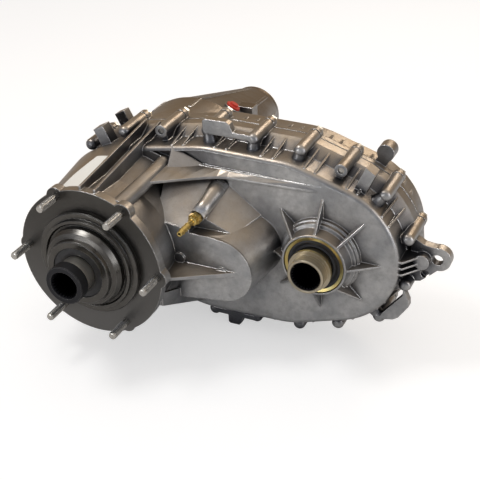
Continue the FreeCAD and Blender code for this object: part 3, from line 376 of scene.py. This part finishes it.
def boss_legs():
    """The round leg that carries each closed bolt boss down to the case wall, flared at its foot."""
    body = bmesh.new()
    steps = (0.0, 0.12, 0.25, 0.45, 0.7)
    flare = [(BOSS_LEG_R + BOSS_FOOT_FLARE * (1 - t) ** 3, BOSS_LEG_LONG * (t - 1)) for t in steps]
    turns = [math.radians(angle) for angle in range(0, 90, 15)]
    crown = [(BOSS_LEG_R * math.cos(turn), BOSS_LEG_R * math.sin(turn)) for turn in turns]
    profile = [(radius * MM, height * MM) for radius, height in flare + crown + [(0.4, BOSS_LEG_R)]]
    for x, z in CLOSED_BOSSES:
        for side in (1, -1):
            out = Vector((0.45 * (x - CASE_MIDDLE_X), 0.0, side * z)).normalized()
            turned(body, profile, Vector((x, BOSS_AXIS_Y, side * z)) * MM, out)
    mesh = bpy.data.meshes.new("boss_legs")
    body.to_mesh(mesh)
    for face in mesh.polygons:
        face.use_smooth = True
    return dress("boss_legs", mesh, soften=0.0)


SHELF_EDGE = [(40, 57), (53, 66), (68, 75.5), (84, 86), (106, 99.5), (122, 108), (134, 111.0), (181, 112.4),
              (236, 114.6), (247, 115.6), (252, 117.5)]     # x and y along the front edge
SHELF_TOP_Z = 86.2
SHELF_WALL_Z = 93.0             # where its sloping top meets the front wall
SHELF_BOTTOM_Z = 83.0
SHELF_BACK_Y = 118.0
SHELF_TAPER = 9.0               # length of its thinning right end


def shelf():
    """The long shelf over the recess: it runs from the neck to the right, its top sloping up to the wall."""
    body = bmesh.new()
    rows = []
    for x, y in SHELF_EDGE:
        thinner = 1.0 - min(1.0, (SHELF_EDGE[-1][0] - x) / SHELF_TAPER)
        low = SHELF_BOTTOM_Z + 1.4 * thinner
        top = SHELF_TOP_Z - 0.6 * thinner
        corners = [(y, low), (y, top), (SHELF_BACK_Y, SHELF_WALL_Z - 4.0 * thinner), (SHELF_BACK_Y, low)]
        rows.append([body.verts.new(Vector((x, cy, cz)) * MM) for cy, cz in corners])
    for row, after in zip(rows, rows[1:]):
        for k in range(4):
            n = (k + 1) % 4
            body.faces.new((row[k], row[n], after[n], after[k]))
    body.faces.new(rows[0])
    body.faces.new(rows[-1])
    bmesh.ops.recalc_face_normals(body, faces=body.faces)
    mesh = bpy.data.meshes.new("shelf")
    body.to_mesh(mesh)
    return dress("shelf", mesh, soften=0.6)


VENT_RIDGE = ((113.5, 67.4, 50.0), (121.0, 118.0, 69.0))      # from behind the breather to the front wall
VENT_RIDGE_R = (9.3, 10.0, 11.6, 14.0)      # at even steps along it


def vent_ridge():
    """The round crest that runs from the breather's boss back up to the shelf."""
    start, end = [Vector(point) * MM for point in VENT_RIDGE]
    long = (end - start).length
    profile = [(radius * MM, long * k / (len(VENT_RIDGE_R) - 1)) for k, radius in enumerate(VENT_RIDGE_R)]
    body = bmesh.new()
    turned(body, profile, start, (end - start).normalized(), 40)
    mesh = bpy.data.meshes.new("vent_ridge")
    body.to_mesh(mesh)
    for face in mesh.polygons:
        face.use_smooth = len(face.vertices) == 4
    return dress("vent_ridge", mesh, soften=0.0)


boss_legs()
shelf()
vent_ridge()


# ---------------------------------------------------------------- camera
CAMERA_AZIMUTH = math.radians(25.36)
CAMERA_ELEVATION = math.radians(30.34)
CAMERA_ROLL = math.radians(-1.81)
CAMERA_FOCAL = 988.3 / 480.0            # focal length over image width
ORIGIN_DEPTH = 1.2116                   # from the camera to the frame's origin, along the view
ORIGIN_AT = (-148.0 / 480.0, -20.1 / 480.0)   # where the origin shows, from the image's middle, in widths


def place_camera():
    sa, ca = math.sin(CAMERA_AZIMUTH), math.cos(CAMERA_AZIMUTH)
    se, ce = math.sin(CAMERA_ELEVATION), math.cos(CAMERA_ELEVATION)
    back = Vector((sa * ce, -ca * ce, se))
    right = Vector((ca, sa, 0.0))
    up = back.cross(right)
    turn = Matrix.Rotation(CAMERA_ROLL, 3, back)
    right, up = turn @ right, turn @ up
    shift_right = ORIGIN_AT[0] * ORIGIN_DEPTH / CAMERA_FOCAL
    shift_up = ORIGIN_AT[1] * ORIGIN_DEPTH / CAMERA_FOCAL
    place = back * ORIGIN_DEPTH - right * shift_right - up * shift_up
    data = bpy.data.cameras.new("camera")
    data.sensor_width = 36.0
    data.lens = 36.0 * CAMERA_FOCAL
    camera = bpy.data.objects.new("camera", data)
    camera.matrix_world = Matrix.Translation(place) @ Matrix((right, up, back)).transposed().to_4x4()
    bpy.context.scene.collection.objects.link(camera)
    bpy.context.scene.camera = camera


place_camera()


# ---------------------------------------------------------------- light and floor
def softbox(name, place, target, size, power, color=(1.0, 1.0, 1.0)):
    data = bpy.data.lights.new(name, "AREA")
    data.shape = "RECTANGLE"
    data.size, data.size_y = size
    data.energy = power
    data.color = color
    lamp = bpy.data.objects.new(name, data)
    lamp.location = place
    lamp.rotation_euler = (Vector(target) - Vector(place)).to_track_quat("-Z", "Y").to_euler()
    bpy.context.scene.collection.objects.link(lamp)


MIDDLE = (0.13, 0.20, 0.0)
softbox("key", (-0.55, -0.2, 1.5), MIDDLE, (0.5, 0.5), 9.0)
softbox("back", (0.5, 1.5, 1.1), MIDDLE, (0.9, 0.2), 5.0, (1.0, 0.90, 0.78))
softbox("side", (1.6, -0.2, 0.5), MIDDLE, (0.4, 0.9), 5.0, (0.97, 0.98, 1.0))
softbox("front", (-0.5, -1.3, -0.02), MIDDLE, (0.5, 0.2), 3.0)

FRONT_TONE = (0.28, 0.30, 0.35)
BACK_TONE = (0.36, 0.285, 0.205)
TOP_TONE = (0.80, 0.78, 0.76)


def studio_world():
    """Plain studio: cool and dim in front, warm behind, light above; white to the camera."""
    world = bpy.data.worlds.new("studio")
    world.use_nodes = True
    tree = world.node_tree
    tree.nodes.clear()
    output = tree.nodes.new("ShaderNodeOutputWorld")
    direction = tree.nodes.new("ShaderNodeTexCoord").outputs["Generated"]
    parts = tree.nodes.new("ShaderNodeSeparateXYZ")
    tree.links.new(direction, parts.inputs[0])

    def ramp(value, low, high):
        node = tree.nodes.new("ShaderNodeMapRange")
        node.inputs["From Min"].default_value = low
        node.inputs["From Max"].default_value = high
        tree.links.new(value, node.inputs["Value"])
        return node.outputs[0]

    def blend(factor, a, b):
        node = tree.nodes.new("ShaderNodeMix")
        node.data_type = "RGBA"
        tree.links.new(factor, node.inputs[0])
        for socket, value in ((node.inputs[6], a), (node.inputs[7], b)):
            if hasattr(value, "is_output"):
                tree.links.new(value, socket)
            else:
                socket.default_value = (*value, 1.0)
        return node.outputs[2]

    sides = blend(ramp(parts.outputs["Y"], -0.35, 0.45), FRONT_TONE, BACK_TONE)
    lit = tree.nodes.new("ShaderNodeBackground")
    tree.links.new(blend(ramp(parts.outputs["Z"], 0.55, 0.95), sides, TOP_TONE), lit.inputs["Color"])
    lit.inputs["Strength"].default_value = 0.9
    white = tree.nodes.new("ShaderNodeBackground")
    white.inputs["Color"].default_value = (1.0, 1.0, 1.0, 1.0)
    white.inputs["Strength"].default_value = 1.0
    path = tree.nodes.new("ShaderNodeLightPath")
    mix = tree.nodes.new("ShaderNodeMixShader")
    tree.links.new(path.outputs["Is Camera Ray"], mix.inputs[0])
    tree.links.new(lit.outputs[0], mix.inputs[1])
    tree.links.new(white.outputs[0], mix.inputs[2])
    tree.links.new(mix.outputs[0], output.inputs[0])
    bpy.context.scene.world = world


FLOOR_SIZE = 14.0


def floor_material():
    """Pale floor that shows near white to the camera and keeps soft shadows."""
    material = bpy.data.materials.new("floor")
    material.use_nodes = True
    tree = material.node_tree
    tree.nodes.clear()
    output = tree.nodes.new("ShaderNodeOutputMaterial")
    diffuse = tree.nodes.new("ShaderNodeBsdfDiffuse")
    diffuse.inputs["Color"].default_value = (0.62, 0.61, 0.60, 1.0)
    glow = tree.nodes.new("ShaderNodeEmission")
    glow.inputs["Strength"].default_value = 0.55
    both = tree.nodes.new("ShaderNodeAddShader")
    path = tree.nodes.new("ShaderNodeLightPath")
    pick = tree.nodes.new("ShaderNodeMixShader")
    tree.links.new(diffuse.outputs[0], both.inputs[0])
    tree.links.new(glow.outputs[0], both.inputs[1])
    tree.links.new(path.outputs["Is Camera Ray"], pick.inputs[0])
    tree.links.new(diffuse.outputs[0], pick.inputs[1])
    tree.links.new(both.outputs[0], pick.inputs[2])
    tree.links.new(pick.outputs[0], output.inputs[0])
    return material


def studio_floor():
    half = FLOOR_SIZE / 2
    level = cad_box[0][2]
    corners = [(-half, -half, level), (half, -half, level), (half, half, level), (-half, half, level)]
    mesh = bpy.data.meshes.new("floor")
    mesh.from_pydata(corners, [], [(0, 1, 2, 3)])
    mesh.materials.append(floor_material())
    floor = bpy.data.objects.new("floor", mesh)
    bpy.context.scene.collection.objects.link(floor)


studio_floor()
studio_world()
bpy.context.scene.view_settings.view_transform = "Standard"
